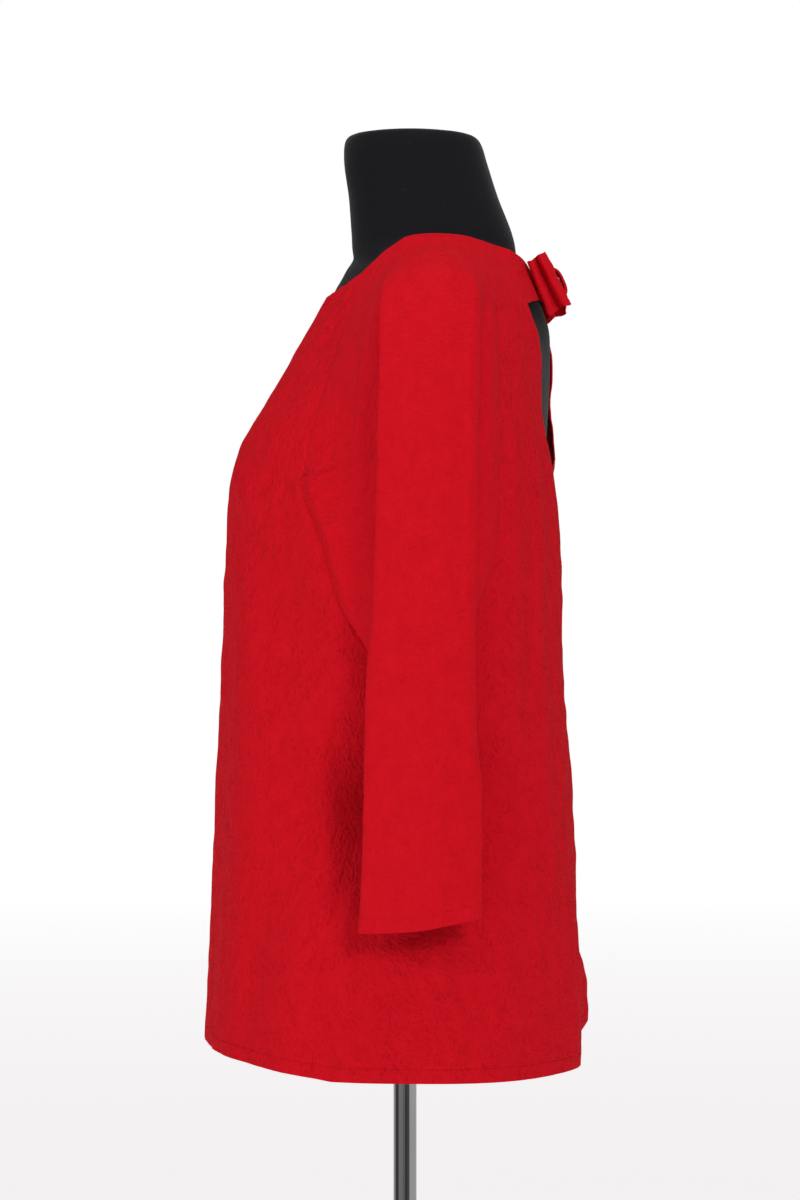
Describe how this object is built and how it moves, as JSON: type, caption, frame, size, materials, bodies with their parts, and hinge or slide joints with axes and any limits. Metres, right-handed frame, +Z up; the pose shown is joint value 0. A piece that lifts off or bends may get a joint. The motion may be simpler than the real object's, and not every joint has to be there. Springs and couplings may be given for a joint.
{
  "type": "raglan-sleeve blouse on limbless dress form",
  "caption": "Red blouse with raglan sleeves, an open slit at the back closed by a neck strap and a bow, worn by a limbless dress form on a pole and a round foot.",
  "frame": {"origin": "middle of the underside of the round foot", "axes": "+Z up; -Y towards the front of the blouse; +X towards the wearer's left"},
  "size_m": [0.472, 0.36, 1.4445],
  "materials": {
    "red_cloth": "matt crinkled weave",
    "black_jersey": "matt stretch jersey",
    "bright_steel": "polished"
  },
  "bodies": {
    "root": {"front": "red_cloth", "back_left": "red_cloth", "back_right": "red_cloth", "sleeve_left": "red_cloth", "sleeve_right": "red_cloth", "bow_loop_left": "red_cloth", "bow_loop_right": "red_cloth", "bow_knot": "red_cloth", "form_torso": "black_jersey", "pole_flange": "bright_steel", "pole": "bright_steel", "pole_socket": "bright_steel", "base_plate": "bright_steel"}
  },
  "joints": []
}
